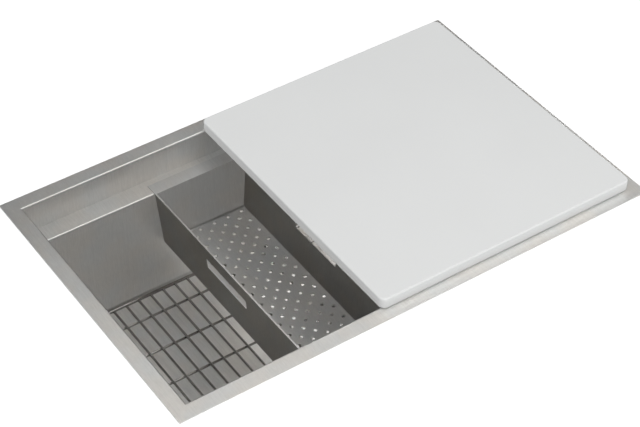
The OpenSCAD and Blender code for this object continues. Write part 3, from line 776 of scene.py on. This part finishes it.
def slab(name, outer, hole, z_low, z_high):
    """A slab with a rectangular hole through it."""
    rings = [[(x0, y0), (x1, y0), (x1, y1), (x0, y1)] for x0, y0, x1, y1 in (outer, hole)]
    points = [(x, y, z) for z in (z_high, z_low) for ring in rings for x, y in ring]
    faces = []
    for i in range(4):
        j = (i + 1) % 4
        faces.append((i, j, 4 + j, 4 + i))
        faces.append((8 + i, 12 + i, 12 + j, 8 + j))
        faces.append((i, 8 + i, 8 + j, j))
        faces.append((4 + i, 4 + j, 12 + j, 12 + i))
    return plain_mesh(name, points, faces)


def white_stage(name, glow):
    """White for the camera with the object's shadow left in it, and plain white otherwise."""
    f = Finish(name)
    camera = f.node("ShaderNodeLightPath", output="Is Camera Ray")
    colour = f.blend(camera, (0.80, 0.80, 0.80, 1), (0.90, 0.90, 0.90, 1))
    matt = f.node("ShaderNodeBsdfDiffuse", {}, {"Color": colour})
    light = f.node("ShaderNodeEmission", {}, {"Color": (1, 1, 1, 1), "Strength": camera * glow})
    return f.show(f.node("ShaderNodeAddShader", {}, {0: matt, 1: light}))


BIN_CARD = "card under bin"
# what the steel reflects: name, brightness and corners of each card round and in the sink
CARDS = [
    ("back card", 0.02, [(-3, 1.2, -0.2), (4, 1.2, -0.2), (4, 1.2, 1.25), (-3, 1.2, 1.25)]),
    ("rear card", 0.42, [(0.2, 3.6, -0.4), (6, 3.6, -0.4), (6, 3.6, 3.2), (0.2, 3.6, 3.2)]),
    ("rear left card", 0.10, [(-4, 3.6, -0.4), (0.2, 3.6, -0.4), (0.2, 3.6, 3.2), (-4, 3.6, 3.2)]),
    ("left card", 0.16, [(-4, -4, -0.4), (-4, 3.6, -0.4), (-4, 3.6, 3.2), (-4, -4, 3.2)]),
    ("right card", 0.30, [(6, -4, -0.4), (6, 3.6, -0.4), (6, 3.6, 3.2), (6, -4, 3.2)]),
    ("front card", 0.22, [(-4, -4, -0.4), (6, -4, -0.4), (6, -4, 3.2), (-4, -4, 3.2)]),
    ("ceiling card", 0.20, [(-4, -4, 3.2), (6, -4, 3.2), (6, 0.3, 3.2), (-4, 0.3, 3.2)]),
    ("rear left ceiling", 0.08, [(-4, 0.3, 3.2), (0, 0.3, 3.2), (0, 3.6, 3.2), (-4, 3.6, 3.2)]),
    ("rear ceiling", 0.50, [(0, 0.3, 3.2), (2.1, 0.3, 3.2), (2.1, 3.6, 3.2), (0, 3.6, 3.2)]),
    ("rear right ceiling", 0.22, [(2.1, 0.3, 3.2), (6, 0.3, 3.2), (6, 3.6, 3.2), (2.1, 3.6, 3.2)]),
    (BIN_CARD, 1.25, [(-0.06, -0.06, -0.151), (0.13, -0.06, -0.151),
                      (0.13, 0.195, -0.151), (-0.06, 0.195, -0.151)]),
    ("top soft box", 2.0, [(-0.1, -0.6, 3.1), (2.6, -0.6, 3.1), (2.6, 1.1, 3.1),
                           (-0.1, 1.1, 3.1)]),
]
# name, watts, size and place of each lamp, whether it casts shadows and whether steel sees it;
# the front fill stands below the floor, and lights the walls that face it
LAMPS = [
    ("front key", 40, (3.0, 2.0), (0.4, -2.5, 1.8), True, False),
    ("left fill", 26, (2.0, 2.0), (-3.0, -0.4, 1.0), True, False),
    ("rear fill", 5.2, (3.0, 3.0), (1.7, 2.5, 2.7), False, True),
    ("rear key", 3, (3.0, 3.0), (1.7, 2.5, 2.7), True, True),
    ("front fill", 4.2, (3.0, 3.0), (1.5, -2.7, -2.3), False, True),
]
# the photograph's camera: its place, and its picture's right, down and forward directions
CAMERA_PLACE = (-1.19071, -1.77406, 1.91392)
CAMERA_AXES = [(0.8281603311, -0.5604464649, -0.0070870244),
               (-0.3813752075, -0.5541943684, -0.7398794180),
               (0.4107352152, 0.6154415992, -0.6727021785)]
SENSOR_WIDTH = 36
CLIP = (0.05, 60)


def grey_card(card, level):
    """A card that only the steel's reflections see; the one under the bin shines down only."""
    f = Finish(card.name)
    shine = f.node("ShaderNodeEmission", {}, {"Color": (1, 0.99, 0.97, 1), "Strength": level})
    if card.name == BIN_CARD:
        clear = f.node("ShaderNodeBsdfTransparent")
        under = f.node("ShaderNodeNewGeometry", output="Backfacing")
        shine = f.node("ShaderNodeMixShader", {}, {0: under, 1: clear, 2: shine})
        f.material.cycles.emission_sampling = "NONE"
    card.data.materials.append(f.show(shine))
    card.visible_camera = card.visible_diffuse = card.visible_shadow = False


class SINK_OT_studio(bpy.types.Operator):
    """Worktop, floor, light and camera"""
    bl_idname = "sink.studio"
    bl_label = "Studio"

    def execute(self, context):
        top = slab("worktop", WORKTOP, CUT_OUT, WORKTOP_FOOT, WORKTOP_TOP)
        top.data.materials.append(white_stage("worktop white", WORKTOP_GLOW))
        s = FLOOR_SIDE
        ground = plain_mesh("floor", [(-s, -s, FLOOR_Z), (s, -s, FLOOR_Z), (s, s, FLOOR_Z),
                                      (-s, s, FLOOR_Z)], ONE_FACE)
        ground.data.materials.append(white_stage("floor white", FLOOR_GLOW))
        self.set_room(context)
        for lamp in LAMPS:
            self.hang_lamp(*lamp)
        for name, level, corners in CARDS:
            grey_card(plain_mesh(name, corners, ONE_FACE), level)
        self.set_camera(context)
        return {"FINISHED"}

    def set_room(self, context):
        """A white world, full for what the camera and mirrors see and dimmer as light."""
        world = bpy.data.worlds.new("room")
        context.scene.world = world
        world.use_nodes = True
        room = Nodes(world.node_tree)
        camera, glossy, through = [room.node("ShaderNodeLightPath", output="Is %s Ray" % ray)
                                   for ray in ("Camera", "Glossy", "Transmission")]
        level = room.node("ShaderNodeMapRange", {}, {
            "Value": camera.above(glossy).above(through),
            "To Min": context.scene.sink_studio.room, "To Max": 1.0})
        room.close("ShaderNodeOutputWorld", room.node("ShaderNodeBackground", {}, {
            "Color": (1, 1, 1, 1), "Strength": level}))

    def hang_lamp(self, name, watts, size, place, shadows, glossy):
        """A soft box that shines at the middle of the sink."""
        lamp = bpy.data.lights.new(name, "AREA")
        lamp.shape = "RECTANGLE"
        lamp.size, lamp.size_y = size
        lamp.energy = watts
        lamp.use_shadow = shadows
        lamp.cycles.use_multiple_importance_sampling = shadows
        made = new_object(name, lamp)
        made.location = place
        made.rotation_euler = (-Vector(place)).to_track_quat("-Z", "Y").to_euler()
        made.visible_camera = False
        made.visible_glossy = glossy

    def set_camera(self, context):
        data = bpy.data.cameras.new("camera")
        data.sensor_fit = "HORIZONTAL"
        data.sensor_width = SENSOR_WIDTH
        data.lens = context.scene.sink_studio.lens
        data.clip_start, data.clip_end = CLIP
        made = new_object("camera", data)
        right, down, forward = [Vector(axis) for axis in CAMERA_AXES]
        turn = Matrix((right, -down, -forward)).transposed()
        made.matrix_world = Matrix.Translation(CAMERA_PLACE) @ turn.to_4x4()
        context.scene.camera = made
        context.scene.view_settings.view_transform = "Standard"


# --- sidebar -------------------------------------------------------------------

STEPS = [SINK_OT_bowl, SINK_OT_clamps, SINK_OT_drain, SINK_OT_basket, SINK_OT_grid, SINK_OT_bin,
         SINK_OT_board, SINK_OT_studio]
GROUPS = {"sink_steel": SteelSettings, "sink_rubber": RubberSettings,
          "sink_details": DetailSettings, "sink_studio": StudioSettings}


class SINK_PT_panel(bpy.types.Panel):
    """Sizes, colours and steps of the sink"""
    bl_label = "Workstation sink"
    bl_idname = "SINK_PT_panel"
    bl_space_type = "VIEW_3D"
    bl_region_type = "UI"
    bl_category = "Sink"

    def draw(self, context):
        layout = self.layout
        for name, group in GROUPS.items():
            box = layout.box()
            for prop in group.__annotations__:
                box.prop(getattr(context.scene, name), prop)
        for step in STEPS:
            layout.operator(step.bl_idname)


def register():
    for group in list(GROUPS.values()) + STEPS + [SINK_PT_panel]:
        bpy.utils.register_class(group)
    for name, group in GROUPS.items():
        setattr(bpy.types.Scene, name, PointerProperty(type=group))


def unregister():
    for name in GROUPS:
        delattr(bpy.types.Scene, name)
    for group in reversed(list(GROUPS.values()) + STEPS + [SINK_PT_panel]):
        bpy.utils.unregister_class(group)


def main():
    register()
    for step in STEPS:
        group, call = step.bl_idname.split(".")
        getattr(getattr(bpy.ops, group), call)()


if __name__ == "__main__":
    main()
